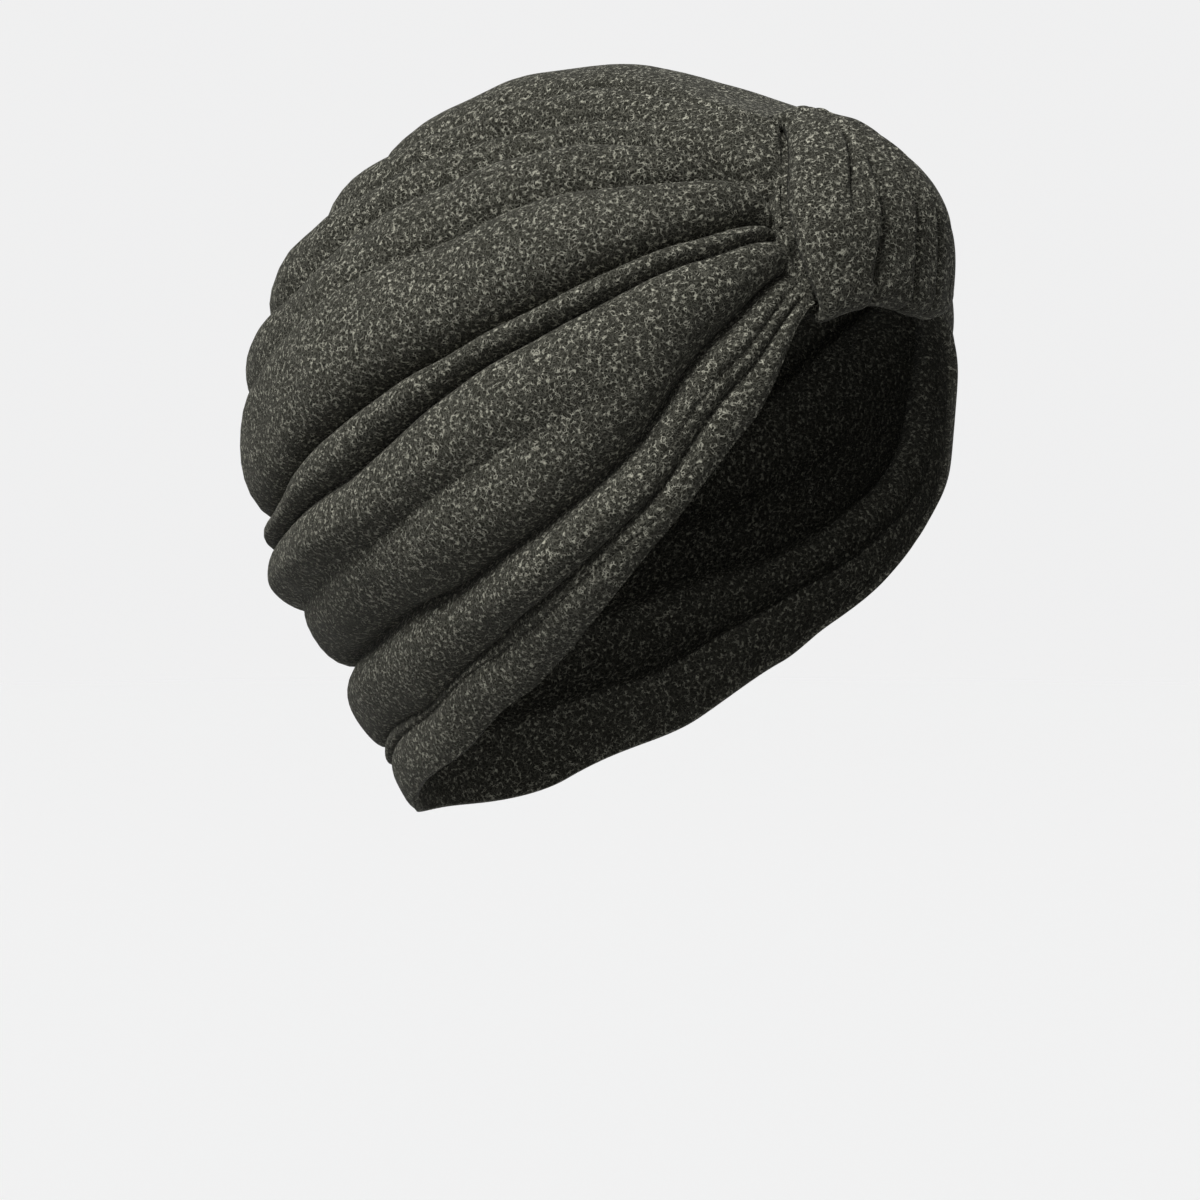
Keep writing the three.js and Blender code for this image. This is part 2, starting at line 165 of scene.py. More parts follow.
SHAPES = {
    #         edge 72   60   40   20   0    -20  -45  -70  -90   above below round lean
    "hem": [0, 0, 0, 0, 0, 0, 0, 0, 0, 0, 3, 3, 0.3, 0],
    "tuckLow": [0, 0, 0, 0.4, 1.1, 1.5, 1.6, 1.6, 1.5, 1.3, 1.6, 2.6, 0.2, 0],
    "tuckHigh": [0.8, 1.4, 1.8, 2.0, 2.1, 2.1, 2.1, 2.0, 1.9, 1.7, 3, 1.8, 0.2, 0.2],
    "pinch": [1.4, 2.0, 1.2, 0.3, 0, 0, 0, 0, 0, 0, 3, 2.5, 0.3, 0],
    "nape": [2.2, 4.0, 4.8, 5.0, 4.8, 4.6, 4.6, 4.6, 4.4, 4.2, 6, 3.2, 0.2, 0.3],
    "panel": [0, 0, 0, 0.8, 2.2, 3.2, 3.8, 4.4, 4.8, 4.6, 6, 11, 3, 0],
    "swag": [0, 0, -0.3, -0.8, -1.2, -1.6, -2.0, -2.6, -3.0, -3.0, 6, 6, 3, 0],
    "slim": [1.4, 2.6, 3.0, 3.6, 4.0, 3.8, 3.4, 3.0, 2.8, 2.6, 4, 3, 0.2, 0.2],
    "deep": [3.4, 6.2, 7.4, 8.4, 8.4, 7.4, 6.0, 4.4, 3.6, 3.4, 7, 3, 0.2, 0.4],
    "brow": [2.6, 3.8, 3.6, 3.0, 1.8, 0.9, 0.6, 0.8, 1.2, 1.4, 6, 3, 0.6, 0.2],
    "side": [1.0, 1.8, 2.4, 2.8, 3.0, 3.0, 2.8, 2.6, 2.4, 2.4, 7, 3, 1.5, 0],
    "upper": [1.0, 2.0, 2.8, 3.0, 2.8, 2.6, 2.4, 2.2, 2.0, 2.0, 7, 3, 1.5, 0],
    "top": [0.6, 1.4, 2.0, 2.0, 1.8, 1.6, 1.4, 1.2, 1.0, 1.0, 6, 3, 1.5, 0],
}
#TABLES-END

# ------------------------------------------------------------------ curves
def hermite(xs, ys, ms, x):
    x = np.clip(x, xs[0], xs[-1])
    k = np.clip(np.searchsorted(xs, x, side="right") - 1, 0, len(xs) - 2)
    h = xs[k + 1] - xs[k]
    q = (x - xs[k]) / h
    q2, q3 = q * q, q * q * q
    return ((2 * q3 - 3 * q2 + 1) * ys[k] + (q3 - 2 * q2 + q) * h * ms[k]
            + (3 * q2 - 2 * q3) * ys[k + 1] + (q3 - q2) * h * ms[k + 1])


def flowing(xs, ys):
    """smooth through every row"""
    xs, ys = np.asarray(xs, float), np.asarray(ys, float)
    a = np.maximum(np.arange(len(xs)) - 1, 0)
    b = np.minimum(np.arange(len(xs)) + 1, len(xs) - 1)
    ms = (ys[b] - ys[a]) / (xs[b] - xs[a])
    return lambda x: hermite(xs, ys, ms, np.asarray(x, float))


def steady(xs, ys):
    """through every row, and between two rows never outside them"""
    xs, ys = np.asarray(xs, float), np.asarray(ys, float)
    d = np.diff(ys) / np.diff(xs)
    ms = np.zeros(len(xs))
    p, s = d[:-1] * d[1:], d[:-1] + d[1:]
    ms[1:-1] = np.where(p > 0, 2 * p / np.where(p > 0, s, 1), 0)
    return lambda x: hermite(xs, ys, ms, np.asarray(x, float))


def smooth01(q):
    q = np.clip(q, 0, 1)
    return q * q * (3 - 2 * q)


# -------------------------------------------------------------- body shape
BODY = np.array(BODY, float)
BORDER = np.array(BORDER, float)
# the cloth round the opening behind the knot lies close to the band's top
CLOSER = {-0.25: (0, 0), -0.06: (0.3, 0), 0.0: (0.5, 0.1), 0.022: (0.8, 0.5), 0.045: (0.6, 0.8), 0.1: (0, 1.0)}
for row in BORDER:
    for at, (inward, forward) in CLOSER.items():
        if abs(row[0] - at) < 1e-6:
            row[1] += inward
            row[2] += forward
front_at, back_at, side_at, square_at = (flowing(BODY[:, 0], BODY[:, k]) for k in (1, 2, 3, 4))
band_edge_at = steady([r[0] for r in BAND_EDGE], [r[1] for r in BAND_EDGE])
bundle_out = steady([r[0] for r in BUNDLE], [r[1] for r in BUNDLE])
band_full_at = flowing([r[0] for r in BAND_FULL], [0.85 * r[1] for r in BAND_FULL])
band_low_at = steady([r[0] for r in BAND_LOW], [r[1] for r in BAND_LOW])


def body(across, along):
    u, v = np.radians(across), np.radians(along)
    reach = np.hypot(u, v)
    k, c = np.sinc(reach / np.pi), math.radians(CORE_TILT)
    x = k * u
    y = np.cos(reach) * math.sin(c) - k * v * math.cos(c)
    z = np.cos(reach) * math.cos(c) + k * v * math.sin(c)
    tilt = np.degrees(np.arccos(np.clip(z, -1, 1)))
    level = np.maximum(np.hypot(x, y), 1e-9)
    cx, cy, ahead = np.abs(x) / level, np.abs(y) / level, y < 0
    power = np.where(ahead, square_at(tilt), 2.0)
    long = np.where(ahead, front_at(tilt), back_at(tilt))
    r = ((cy / long) ** power + (cx / side_at(tilt)) ** power) ** (-1 / power)
    return np.stack([x * r, y * r, CENTRE_Z + z * r], -1)


def outward(u, v, e=0.3):
    n = np.cross(body(u + e, v) - body(u - e, v), body(u, v + e) - body(u, v - e))
    n /= np.linalg.norm(n, axis=-1, keepdims=True)
    s = np.sum(n * (body(u, v) - [0, 0, CENTRE_Z]), -1, keepdims=True)
    return np.where(s < 0, -n, n)


def bundle_at(u, v):
    w = np.abs(u) / band_edge_at(v)
    return bundle_out(v) * np.maximum(0, 1 - w * w)


def gather_at(t):
    return smooth01(1 - t / GATHER_END)


# -------------------------------------------------------------- fold paths
NAMES = [row[0] for row in PATHS]


def path_of(row):
    reach = row[3:]
    across = [0.0, -float(band_edge_at(row[2]))] + [-r * math.cos(math.radians(h)) for r, h in zip(reach, HEADING)]
    along = [row[1], row[2]] + [r * math.sin(math.radians(h)) for r, h in zip(reach, HEADING)]
    across[-1] = 0.0
    ts = [2 * STATION_T[0] - STATION_T[1]] + list(STATION_T) + [2 * STATION_T[-1] - STATION_T[-2]]
    u = flowing(ts, [-across[1]] + across + [-across[-2]])
    v = flowing(ts, [along[1]] + along + [along[-2]])
    return lambda t: (np.where((t <= STATION_T[0]) | (t >= 1), 0, u(t)), v(t))


def border_path():
    v = steady(BORDER[:, 0], BORDER[:, 2])
    return lambda t: (np.interp(t, BORDER[:, 0], BORDER[:, 1]), v(t))


LINES = [path_of(row) for row in PATHS] + [border_path()]
DEPTH = {n: steady([-0.25] + list(STATION_T[1:]), [SHAPES[n][0] * 0.6] + list(SHAPES[n][:10])) for n in NAMES}

# how a fold differs from the table on each side: shift of its path in
# degrees, and swing of its depth, on the wearer's right and on the left
VARY = {
    #          right shift, swing, turns | left shift, swing, turns
    "tuckLow": (0.0, 0.15, 2.3, 0.0, 0.30, 2.0),
    "tuckHigh": (0.0, 0.15, 2.7, 0.6, 0.30, 2.2),
    "pinch": (0.0, 0.10, 2.0, 0.8, 0.30, 1.7),
    "nape": (0.0, 0.10, 1.6, 1.6, 0.25, 2.1),
    "panel": (0.0, 0.12, 1.9, 2.4, 0.35, 1.5),
    "swag": (0.0, 0.15, 2.2, 2.0, 0.40, 1.7),
    "slim": (0.0, 0.15, 2.1, -1.2, 0.35, 1.9),
    "deep": (0.0, 0.10, 1.5, -2.2, 0.22, 1.6),
    "brow": (0.0, 0.20, 1.8, -3.0, 0.40, 1.9),
    "side": (0.0, 0.20, 2.1, 1.8, 0.35, 2.3),
    "upper": (0.0, 0.22, 1.7, 2.6, 0.35, 1.6),
    "top": (0.0, 0.22, 2.0, 1.4, 0.35, 2.1),
}

NIP = 0.45
DEEPER = {"brow": 2.4, "side": 2.0, "upper": 1.9, "top": 1.6, "deep": 1.1, "slim": 1.2, "nape": 1.1, "pinch": 1.2, "tuckHigh": 1.15}
# extra depth of a fold where it goes under the band
MOUTH = {"deep": 8.0, "brow": 6.0, "nape": 2.2, "pinch": 1.5, "slim": 1.6, "side": 1.2, "upper": 1.0}
FOLLOW = 0.95
# the cloth between two folds bulges: how far the surface rounds down to each
# fold, as a share of the fold's depth, and the most that it may be in mm
ROUND = {"tuckHigh": (0.7, 1.6), "nape": (0.9, 4.2), "slim": (0.7, 3.0), "deep": (0.6, 5.0), "brow": (1.0, 4.2),
         "side": (1.1, 4.2), "upper": (1.1, 4.0), "top": (1.1, 3.0)}
FLOOR = 0.8

# soft creases between the folds: side, fold below, share of the way to the
# next one at the start and at the end, start and end along, depth in mm,
# width of the shoulder below and above it
CREASES = [
    # side, fold, from, to, start, end, depth, below, above
    (-1, "hem", 0.35, 0.5, -0.02, 0.1, 0.9, 1.2, 1.2),
    (-1, "pinch", 0.5, 0.45, -0.02, 0.16, 1.3, 1.6, 1.3),
    (-1, "nape", 0.45, 0.3, -0.02, 0.13, 1.3, 1.8, 1.5),
    (-1, "nape", 0.75, 0.62, -0.02, 0.22, 1.1, 2.2, 2.0),
    (-1, "panel", 0.5, 0.8, -0.02, 0.2, 1.1, 2.0, 2.0),
    (-1, "swag", 0.5, 0.35, -0.02, 0.14, 0.9, 1.6, 1.6),
    (-1, "brow", 0.45, 0.3, -0.02, 0.17, 1.3, 1.8, 1.8),
    (-1, "side", 0.5, 0.35, -0.02, 0.14, 1.0, 1.8, 1.8),
    (-1, "upper", 0.5, 0.3, -0.02, 0.12, 1.0, 1.8, 1.8),
    (-1, "deep", 0.42, 0.25, -0.02, 0.3, 0.9, 3.0, 2.4),
    (-1, "brow", 0.62, 0.5, 0.3, 0.75, 0.6, 4.0, 3.5),
    (-1, "side", 0.45, 0.6, 0.24, 0.7, 0.7, 4.0, 4.0),
    (-1, "nape", 0.35, 0.5, 0.5, 0.85, 0.8, 3.5, 3.0),
    (-1, "deep", 0.5, 0.62, 0.5, 0.85, 0.8, 4.0, 3.5),
    (1, "hem", 0.4, 0.55, -0.02, 0.12, 0.9, 1.2, 1.2),
    (1, "pinch", 0.4, 0.5, -0.02, 0.2, 1.2, 1.6, 1.4),
    (1, "nape", 0.3, 0.45, -0.02, 0.2, 1.3, 1.8, 1.5),
    (1, "nape", 0.7, 0.5, -0.02, 0.15, 1.2, 2.0, 2.0),
    (1, "panel", 0.4, 0.6, -0.02, 0.26, 1.0, 2.0, 2.0),
    (1, "swag", 0.6, 0.4, -0.02, 0.16, 0.9, 1.6, 1.6),
    (1, "deep", 0.35, 0.5, -0.02, 0.24, 1.1, 2.6, 2.4),
    (1, "brow", 0.5, 0.4, -0.02, 0.2, 1.2, 1.8, 1.8),
    (1, "side", 0.4, 0.5, -0.02, 0.12, 1.0, 1.8, 1.8),
    (1, "upper", 0.4, 0.5, -0.02, 0.15, 1.0, 1.8, 1.8),
    (1, "brow", 0.4, 0.62, 0.35, 0.85, 0.8, 4.0, 3.5),
    (1, "side", 0.6, 0.4, 0.2, 0.6, 0.7, 4.0, 4.0),
    (1, "panel", 0.4, 0.3, 0.55, 0.9, 0.7, 3.5, 3.0),
    (1, "deep", 0.62, 0.45, 0.5, 0.9, 0.9, 4.0, 3.5),
]

# slow swells of the cloth, so that no surface is perfectly even: amplitude in
# mm, and the direction and number of turns a metre
RNG = np.random.default_rng(7)
SWELLS = []
for count, low, high, size in ((10, 14, 26, 0.16), (12, 30, 52, 0.075)):
    for _ in range(count):
        way = RNG.normal(size=3)
        way /= np.linalg.norm(way)
        SWELLS.append((size, way * RNG.uniform(low, high) * 2 * math.pi / 1000, RNG.uniform(0, 2 * math.pi)))


def slow_swell(p):
    return sum(a * np.sin(p @ k + f) for a, k, f in SWELLS)


# --------------------------------------------------------------------- cap
def strands(count):
    list_ = []
    for i in range(len(LINES) - 1):
        for k in range(count):
            list_.append((i, (1 - math.cos(math.pi * k / count)) / 2))
    return list_ + [(len(LINES) - 1, 0)]


def lines_of(side, t):
    ends = []
    for i, line in enumerate(LINES):
        u, v = line(t)
        if i < len(NAMES) and NAMES[i] in VARY:
            shift = VARY[NAMES[i]][0 if side < 0 else 3]
            window = np.sin(np.pi * np.clip((t - 0.04) / 0.96, 0, 1)) ** 2
            reach = np.maximum(np.hypot(u, v), 1e-6)
            grow = 1 + shift * window / reach
            u, v = u * grow, v * grow
        if i < len(NAMES) and NAMES[i] == "slim":
            # close under the deep fold where both go under the band
            v = v - 1.9 * np.exp(-(t / 0.06) ** 2)
        ends.append((u, v))
    return ends


def swing_of(side, name, t):
    if name not in VARY:
        return np.ones_like(t)
    _, right, right_turns, _, left, left_turns = VARY[name]
    size, turns = (right, right_turns) if side < 0 else (left, left_turns)
    phase = 1.7 * NAMES.index(name)
    way = (1 - t) * (1 if side < 0 else -1)
    wave = np.sin(turns * math.pi * way + phase) - math.sin(phase) * (1 - smooth01((1 - t) / 0.25))
    wave = wave + math.sin(phase) * (1 - smooth01((1 - t) / 0.25))
    return 1 + size * wave * smooth01(t / 0.15) * smooth01((1 - t) / 0.12 * 0.5 + 0.5)


def cap_grid(side, t, spread, inside):
    """points of one half by strand and by place along the folds, and cloth coordinates"""
    ends = lines_of(side, t)
    u = np.array([ends[i][0] if q == 0 else ends[i][0] * (1 - q) + ends[i + 1][0] * q for i, q in spread])
    v = np.array([ends[i][1] if q == 0 else ends[i][1] * (1 - q) + ends[i + 1][1] * q for i, q in spread])
    if side > 0:
        u = -u
    p, n = body(u, v), outward(u, v)
    x = np.vstack([np.zeros(len(t)), np.cumsum(np.linalg.norm(np.diff(p, axis=0), axis=-1), axis=0)])
    rows = {i: k for k, (i, q) in enumerate(spread) if q == 0}
    gather = gather_at(t)[None]
    height, slide = np.zeros_like(x), np.zeros_like(x)
    lining = -(WALL + GATHER_WALL * gather) + np.zeros_like(x)
    follow = FOLLOW * smooth01((t - 0.003) / 0.02)[None]
    for i, name in enumerate(NAMES):
        above, below, radius, lean = SHAPES[name][10:]
        depth = DEPTH[name](t) * swing_of(side, name, t) * (1 + (DEEPER.get(name, 1) - 1) * smooth01(t / 0.1))
        depth = (depth + MOUTH.get(name, 0) * np.exp(-(np.maximum(t, 0) / 0.05) ** 2) * smooth01(t / 0.012))[None]
        d = x - x[rows[i]][None]
        width = np.where(d > 0, above, below)
        lining -= depth * follow * np.exp(-(np.hypot(d, radius + 1) - radius - 1) / (width + 1.5))
        c = np.exp(-(np.hypot(d, radius) - radius) / width)
        height -= depth * c
        # a tighter nip at the bottom of the fold
        height -= NIP * np.maximum(depth, 0) * np.exp(-(np.hypot(d, 0.25) - 0.25) / (0.28 * width))
        slide -= lean * np.abs(depth) * (1 - c) * np.exp(-np.abs(d) / (2.5 * width)) * np.where(d > 0, 1, 0.6)
    edges = [(x[0], 0 * t)] + [(x[rows[NAMES.index(name)]],
                               np.minimum(share * np.maximum(DEPTH[name](t) * swing_of(side, name, t), 0), most)
                               * smooth01((t - 0.005) / 0.06)) for name, (share, most) in ROUND.items()] + [(x[-1], 0 * t)]
    for (low, low_drop), (high, high_drop) in zip(edges, edges[1:]):
        s = 2 * (x - low[None]) / np.maximum(high - low, 1e-6)[None] - 1
        drop = (low_drop[None] * (1 - s) + high_drop[None] * (1 + s)) / 2 * (1 - np.maximum(1 - s * s, 0) ** 0.6)
        drop = np.where((s > -1) & (s <= 1), drop, 0)
        height -= drop
        lining -= drop * follow
    if inside:
        height, slide = lining, np.zeros_like(x)
    if not inside:
        for owner, name, q0, q1, t0, t1, depth, below, above in CREASES:
            if owner != side:
                continue
            i = NAMES.index(name)
            share = q0 + (q1 - q0) * smooth01((t - t0) / (t1 - t0))
            place = x[rows[i]] * (1 - share) + x[rows[i + 1]] * share
            mid, run = (t0 + t1) / 2, (t1 - t0) / 2
            if t0 < 0:
                fade = 1 - smooth01((t - t1 * 0.35) / (t1 * 0.65))
            else:
                fade = smooth01(1 - np.abs(t - mid) / run)
            d = x - place[None]
            width = np.where(d > 0, above, below)
            height -= depth * fade[None] * np.exp(-(np.hypot(d, 0.5) - 0.5) / width)
    if not inside:
        height = np.maximum(height, lining + FLOOR)
    height += np.where(t[None] < 0, bundle_at(u, v), 0)
    rise = smooth01((t - 0.001) / 0.009)
    height += (SWELL * rise * np.exp(-np.maximum(t, 0) / 0.06))[None]
    if inside:
        height += 0.5 * slow_swell(p) * (1 - gather)
    else:
        height -= HEM_CURL * np.exp(-((x / 2.2) ** 2))
        height += slow_swell(p) * smooth01((t[None] + 0.02) / 0.12)
    slide *= np.clip(t / 0.05, 0, 1)[None]
    way = np.empty_like(p)
    way[1:-1] = p[2:] - p[:-2]
    way[0], way[-1] = p[1] - p[0], p[-1] - p[-2]
    way -= np.sum(way * n, -1, keepdims=True) * n
    way /= np.maximum(np.linalg.norm(way, axis=-1, keepdims=True), 1e-9)
    out = p + n * height[..., None] + way * slide[..., None]
    out[..., 0] = np.where(np.abs(u) < 1e-12, 0, out[..., 0])
    # cloth coordinates: across the folds from the hem, and along them
    lay = np.cumsum(np.linalg.norm(np.diff(p, axis=1, prepend=p[:, :1]), axis=-1), axis=1)
    middle = np.argmin(np.abs(t - 0.45))
    lay = lay - lay[:, middle:middle + 1]
    return out, np.stack([lay * (-side), x], -1)


class Cloth:
    """grids of points welded into one mesh"""

    def __init__(self):
        self.points, self.faces, self.uv = [], [], []
        self.total = 0

    def grid(self, points, uv, flip, ring=False):
        a, b = points.shape[:2]
        base = self.total
        self.points.append(points.reshape(-1, 3))
        self.total += a * b
        index = base + np.arange(a * b).reshape(a, b)
        if ring:
            index = np.concatenate([index, index[:1]], 0)
            uv = np.concatenate([uv, uv[:1]], 0)
        quads = np.stack([index[:-1, :-1], index[1:, :-1], index[1:, 1:], index[:-1, 1:]], -1).reshape(-1, 4)
        coords = np.stack([uv[:-1, :-1], uv[1:, :-1], uv[1:, 1:], uv[:-1, 1:]], -2).reshape(-1, 4, 2)
        if flip:
            quads, coords = quads[:, ::-1], coords[:, ::-1]
        self.faces.append(quads)
        self.uv.append(coords)

    def build(self, name):
        points, faces, uv = np.concatenate(self.points), np.concatenate(self.faces), np.concatenate(self.uv)
        _, first, back = np.unique(np.round(points * 2000).astype(np.int64), axis=0, return_index=True, return_inverse=True)
        points, faces = points[first], back.reshape(-1)[faces]
        keep_faces, keep_uv = [], []
        for f, c in zip(faces.tolist(), uv):
            ids, corners = [], []
            for k, vertex in enumerate(f):
                if vertex not in ids:
                    ids.append(vertex)
                    corners.append(c[k])
            if len(ids) > 2:
                keep_faces.append(ids)
                keep_uv.extend(corners)
        mesh = bpy.data.meshes.new(name)
        mesh.from_pydata((points / 1000).tolist(), [], keep_faces)
        layer = mesh.uv_layers.new(name="cloth")
        layer.data.foreach_set("uv", (np.array(keep_uv) / 1000).astype(np.float32).ravel())
        mesh.shade_smooth()
        obj = bpy.data.objects.new(name, mesh)
        bpy.context.scene.collection.objects.link(obj)
        return obj


def spaced(stops, counts):
    parts = [np.linspace(a, b, n, endpoint=False) for a, b, n in zip(stops[:-1], stops[1:], counts)]
    return np.concatenate(parts + [[stops[-1]]])


def make_cap():
    t = spaced([-0.25, -0.02, 0.03, OPENING_END, 0.3, 1.0], [14, 14, 14, 36, 130])
    outer_lines, inner_lines = strands(12), strands(3)
    halves = {side: (cap_grid(side, t, outer_lines, False), cap_grid(side, t, inner_lines, True)) for side in (-1, 1)}
    closed = t >= OPENING_END - 1e-9
    for k in (0, 1):  # the two halves meet on the middle line of the head and at the back
        right, left = halves[-1][k][0], halves[1][k][0]
        for where in ((-1, closed), (slice(None), t > 1 - 1e-9), (slice(None), t < -0.25 + 1e-9)):
            a, b = right[where], left[where]
            mean = (a + b * [-1, 1, 1]) / 2
            mean[..., 0] = 0
            right[where], left[where] = mean, mean
    cloth = Cloth()
    for side in (-1, 1):
        (outer, outer_uv), (inner, inner_uv) = halves[side]
        cloth.grid(outer, outer_uv, side > 0)
        cloth.grid(inner, inner_uv, side < 0)
        rim = np.stack([outer[0], inner[0]])
        rim_uv = np.stack([outer_uv[0], inner_uv[0] - [0, WALL]])
        cloth.grid(rim, rim_uv, side < 0)
        last = np.flatnonzero(closed)[0] + 1
        rim = np.stack([outer[-1, :last], inner[-1, :last]])
        rim_uv = np.stack([outer_uv[-1, :last], inner_uv[-1, :last]])
        cloth.grid(rim, rim_uv, side > 0)
    return cloth.build("turban_cap")


# -------------------------------------------------------------------- band
# pleats of the band: place across it by height from the hem (0) to the top
# (1), depth in mm by height, and the width of the shoulder on each side; each
# pleat lies a little over the next one toward the wearer's left
PLEAT_LINES = [
    # height and place | height and depth | right and left shoulder
    ([(0, -0.7), (0.4, -0.57), (0.6, -0.4), (0.8, -0.25), (1, -0.1)],
     [(0, 0), (0.35, 0.3), (0.55, 2.4), (0.75, 3.2), (1, 2.6)], 0.06, 0.12),
    ([(0, -0.52), (0.25, -0.35), (0.5, -0.25), (0.75, -0.09), (1, 0.12)],
     [(0, 2.2), (0.15, 4.0), (0.5, 5.6), (0.8, 4.6), (1, 3.0)], 0.045, 0.15),
    ([(0, -0.06), (0.25, 0.05), (0.5, 0.13), (0.75, 0.32), (1, 0.48)],
     [(0, 1.8), (0.2, 3.8), (0.5, 4.6), (1, 2.8)], 0.05, 0.12),
    ([(0, 0.3), (0.5, 0.42), (0.75, 0.54), (1, 0.68)],
     [(0, 2.0), (0.3, 3.8), (0.7, 3.8), (1, 2.4)], 0.05, 0.1),
    ([(0, 0.64), (0.5, 0.7), (1, 0.84)],
     [(0, 1.8), (0.4, 3.0), (1, 2.0)], 0.05, 0.09),
    ([(0, -0.62), (0.6, -0.6), (0.8, -0.58), (1, -0.5)],
     [(0, 0), (0.66, 0), (0.8, 1.2), (1, 2.4)], 0.05, 0.09),
]


def pleat_relief(w, height):
    relief = 0
    for places, depths, right, left in PLEAT_LINES:
        place = flowing(*zip(*places))(height)
        depth = steady(*zip(*depths))(height)
        d = w - place
        relief = relief - 0.8 * depth * np.exp(-(np.hypot(d, 0.008) - 0.008) / np.where(d < 0, right, left))
        # a slit under the lip of the pleat, and the lip itself
        relief = relief - 1.0 * depth * np.exp(-((d - 0.006) / 0.02) ** 2) + 0.2 * depth * np.exp(-((d + 0.07) / 0.045) ** 2)
    return relief


def band_point(part, q, w):
    q, w = np.broadcast_arrays(np.asarray(q, float), np.asarray(w, float))
    low = band_low_at(w)
    along = {"front": low + (BAND_TOP - low) * q, "inside": BAND_TOP + (low - BAND_TOP) * q,
             "top": BAND_TOP + 0 * q, "bottom": low + 0 * q}[part]
    across = w * band_edge_at(along)
    p, n = body(across, along), outward(across, along)
    lift, wall = bundle_at(across, along), WALL + GATHER_WALL
    edge = 0.85 + 0.45 * np.sqrt(np.maximum(0, 1 - np.abs(w) ** 24))
    swell = np.maximum(0, 1 - w * w) ** 0.6

    def relief(height):
        floor = -(BAND_WALL * edge * 0.75 + band_full_at(height) * swell)
        return np.maximum(floor, pleat_relief(w, height) * np.minimum(1, edge * 1.2) * (0.35 + 0.65 * swell))

    if part == "front":
        near = lift + BAND_GAP
        far = near + BAND_WALL * edge + band_full_at(q) * swell + relief(q)
        return p + n * near[..., None], p + n * far[..., None]
    if part == "inside":
        near = lift - wall - BAND_GAP
        return p + n * near[..., None], p + n * (near - BAND_WALL * edge)[..., None]
    top = part == "top"
    if top:
        edge = edge + 0.1 * np.sin(np.pi * q)
    step = body(across, along + (-1 if top else 1)) - p
    step -= np.sum(step * n, -1, keepdims=True) * n
    step /= np.linalg.norm(step, axis=-1, keepdims=True)
    angle = q * np.pi if top else (1 - q) * np.pi
    height = (1.0 if top else 0.0) + 0 * q
    out = n * np.cos(angle)[..., None] + step * np.sin(angle)[..., None]
    near, fade = wall / 2 + BAND_GAP, (1 + np.cos(angle)) / 2
    centre = p + n * (lift - wall / 2)[..., None]
    far = near + BAND_WALL * edge + fade * (band_full_at(height) * swell + relief(height))
    return centre + out * near, centre + out * far[..., None]


BAND_LOOP = [("front", 150), ("top", 34), ("inside", 40), ("bottom", 34)]


def make_band():
    bend = np.linspace(-math.pi / 2, math.pi / 2, 250)
    outer_w = 0.3 * np.sin(bend) + 0.7 * bend / (math.pi / 2)
    inner_w = np.linspace(1, -1, 40)
    rings, coords, run = [], [], 0.0
    for part, count in BAND_LOOP:
        for k in range(count):
            far = band_point(part, k / count, outer_w)[1]
            near = band_point(part, k / count, inner_w)[0]
            ring = np.concatenate([far, near, far[:1]])
            rings.append(ring)
    rings = np.array(rings)
    around = np.concatenate([[0], np.cumsum(np.linalg.norm(np.diff(rings[:, 125], axis=0), axis=-1))])
    across = np.concatenate([[0], np.cumsum(np.linalg.norm(np.diff(rings[40], axis=0), axis=-1))])
    uv = np.stack(np.broadcast_arrays(across[None, :], around[:, None]), -1)
    cloth = Cloth()
    cloth.grid(rings, uv, True, ring=True)
    return cloth.build("turban_knot_band")


cap = make_cap()
band = make_band()
for piece, node, slot in ((cap, "cap", "jersey_cap"), (band, "knot_band", "jersey_band")):
    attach(piece, "root")
    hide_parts(node)


# --------------------------------------------------------------- materials
def node(tree, kind, **values):
    made = tree.nodes.new(kind)
    for key, value in values.items():
        setattr(made, key, value)
    return made


def math_node(tree, operation, a, b=None, clamp=False):
    made = node(tree, "ShaderNodeMath", operation=operation, use_clamp=clamp)
    for k, value in enumerate((a, b)):
        if value is None:
            continue
        if isinstance(value, (int, float)):
            made.inputs[k].default_value = value
        else:
            tree.links.new(value, made.inputs[k])
    return made.outputs[0]


def noise(tree, where, scale, detail=1.0, rough=0.5):
    made = node(tree, "ShaderNodeTexNoise", noise_dimensions="3D")
    made.inputs["Scale"].default_value = scale
    made.inputs["Detail"].default_value = detail
    made.inputs["Roughness"].default_value = rough
    tree.links.new(where, made.inputs["Vector"])
    return made


def ramp(tree, value, low, high, out_low=0.0, out_high=1.0):
    made = node(tree, "ShaderNodeMapRange", interpolation_type="SMOOTHSTEP")
    tree.links.new(value, made.inputs["Value"])
    for name, number in (("From Min", low), ("From Max", high), ("To Min", out_low), ("To Max", out_high)):
        made.inputs[name].default_value = number
    return made.outputs["Result"]


def shifted(tree, where, offset):
    made = node(tree, "ShaderNodeVectorMath", operation="ADD")
    tree.links.new(where, made.inputs[0])
    made.inputs[1].default_value = offset
    return made.outputs[0]


def curls(tree, where, scale, half, shadow_reach):
    """curly lines of an even width and a painted shadow beside them, both as a share; half the width and the reach of
    the painted shadow are in mm"""
    made = node(tree, "ShaderNodeTexVoronoi", voronoi_dimensions="3D", feature="DISTANCE_TO_EDGE")
    tree.links.new(where, made.inputs["Vector"])
    made.inputs["Scale"].default_value = scale
    off = made.outputs["Distance"]
    line = ramp(tree, off, (half - 0.05) * scale, (half + 0.05) * scale, 1.0, 0.0)
    # painted shadow: the ground darkens next to each curl, as the shade a raised curl would cast
    curl_shadow = ramp(tree, off, half * scale, shadow_reach * scale, 1.0, 0.0)
    return line, curl_shadow


